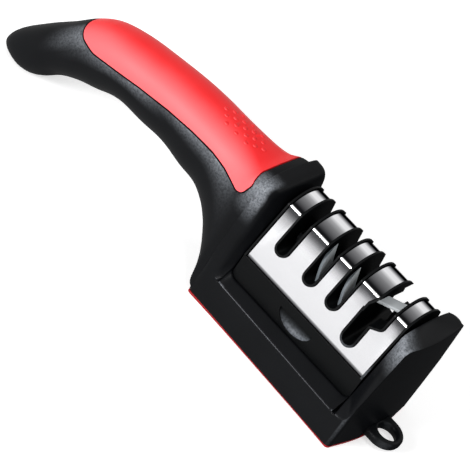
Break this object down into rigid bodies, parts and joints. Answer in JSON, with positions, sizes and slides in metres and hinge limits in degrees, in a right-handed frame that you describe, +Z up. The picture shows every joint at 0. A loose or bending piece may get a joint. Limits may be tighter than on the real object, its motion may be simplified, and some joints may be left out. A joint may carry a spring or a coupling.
{
  "type": "hand-held knife and scissors sharpener",
  "caption": "Hand-held sharpener: an arched handle with a soft cover, a cradle and a lift-out cartridge with V slots for knives and a wide slot for scissors.",
  "frame": {"origin": "centre of the foot pad's flat face, on the table", "axes": "+Z up, +X from the handle to the hanging loop, -Y the side that the slots are seen from in the picture"},
  "size_m": [0.2265, 0.0536, 0.0582],
  "materials": {
    "black": "fine satin black moulding",
    "red": "soft red over-mould with a satin sheen",
    "foot": "matt red rubber",
    "core": "half-gloss black moulding",
    "chrome": "polished, with a fine brushing on the sides",
    "screw": "plain zinc-plated",
    "carbide": "ground dark grey",
    "diamond": "fine grit, grey",
    "ceramic": "fine grey ceramic",
    "scissor": "light grey ceramic"
  },
  "bodies": {
    "cradle": {"housing": "black", "grip_cover": "red", "base_plate": "black", "foot_pad": "foot", "base_screw_1": "screw", "base_screw_2": "screw", "base_screw_3": "screw", "base_screw_4": "screw"},
    "cartridge": {"cartridge_core": "core", "chrome_cover": "chrome", "cartridge_bottom": "core", "stone_carrier": "core", "cartridge_screw_1": "screw", "cartridge_screw_2": "screw", "carbide_blade_front": "carbide", "carbide_blade_rear": "carbide", "diamond_plate_front": "diamond", "diamond_plate_rear": "diamond", "ceramic_plate_front": "ceramic", "ceramic_plate_rear": "ceramic", "scissor_plate": "scissor"}
  },
  "joints": [
    {"name": "cartridge_slide", "type": "slide", "parent": "cradle", "child": "cartridge", "axis": [0, 0, 1], "range_m": [0, 0.048]}
  ]
}
